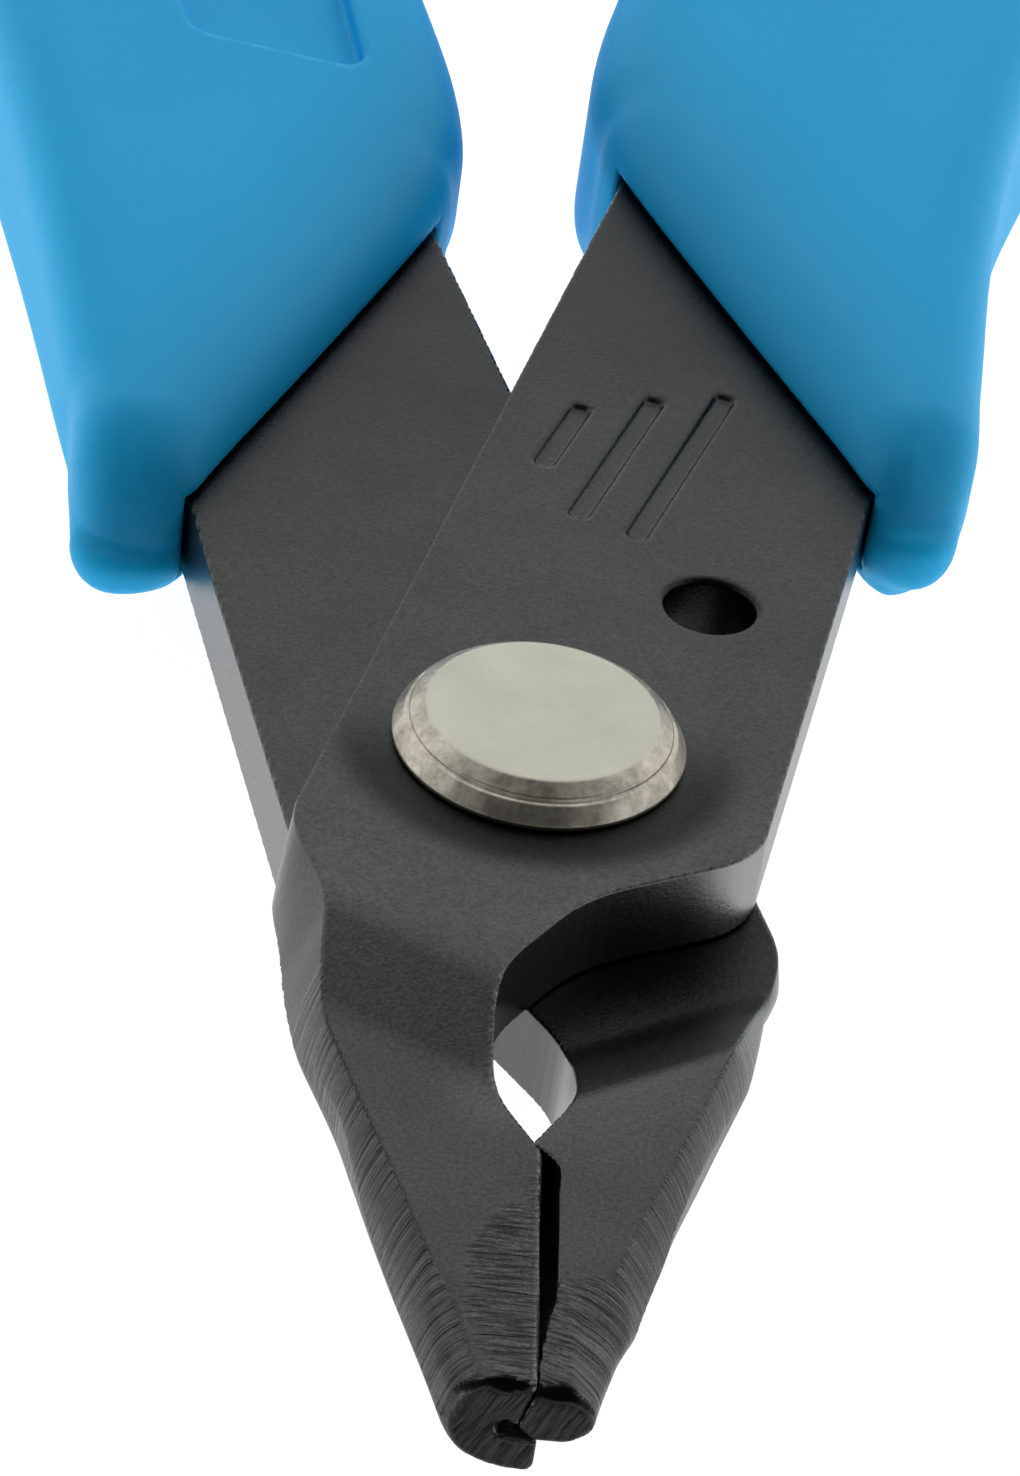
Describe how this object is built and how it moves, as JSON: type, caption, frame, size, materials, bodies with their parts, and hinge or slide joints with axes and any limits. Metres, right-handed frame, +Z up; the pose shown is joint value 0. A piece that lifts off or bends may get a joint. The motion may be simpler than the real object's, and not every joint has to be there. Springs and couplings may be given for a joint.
{
  "type": "flush cut pliers",
  "caption": "Hand cutters with crossed flat steel levers on a rivet, narrow set-over flush cutting jaws, moulded blue grips and a wire return spring.",
  "frame": {"origin": "centre of the rivet's flat tail face, on the pivot axis, in the plane that the tool rests on", "axes": "+Z up along the pivot axis towards the rivet's head, +Y from the pivot to the handle ends, jaw tips at -Y"},
  "size_m": [0.0456, 0.127, 0.0105],
  "materials": {
    "blackened_steel": "matt black oxide with ground jaws",
    "rivet_nickel": "satin nickel plate",
    "grip_blue": "soft satin moulding",
    "spring_wire": "bright drawn music wire"
  },
  "bodies": {
    "lower_half": {"lower_lever": "blackened_steel", "lower_grip": "grip_blue", "pivot_rivet": "rivet_nickel", "rivet_collar": "rivet_nickel", "return_spring": "spring_wire"},
    "upper_half": {"upper_lever": "blackened_steel", "upper_grip": "grip_blue"}
  },
  "joints": [
    {"name": "pivot", "type": "hinge", "parent": "lower_half", "child": "upper_half", "pos_m": [0, 0, 0], "axis": [0, 0, -1], "range_deg": [0, 15], "stiffness_Nm_per_rad": 0.01, "springref_deg": 15, "deforming": ["return_spring"]}
  ]
}
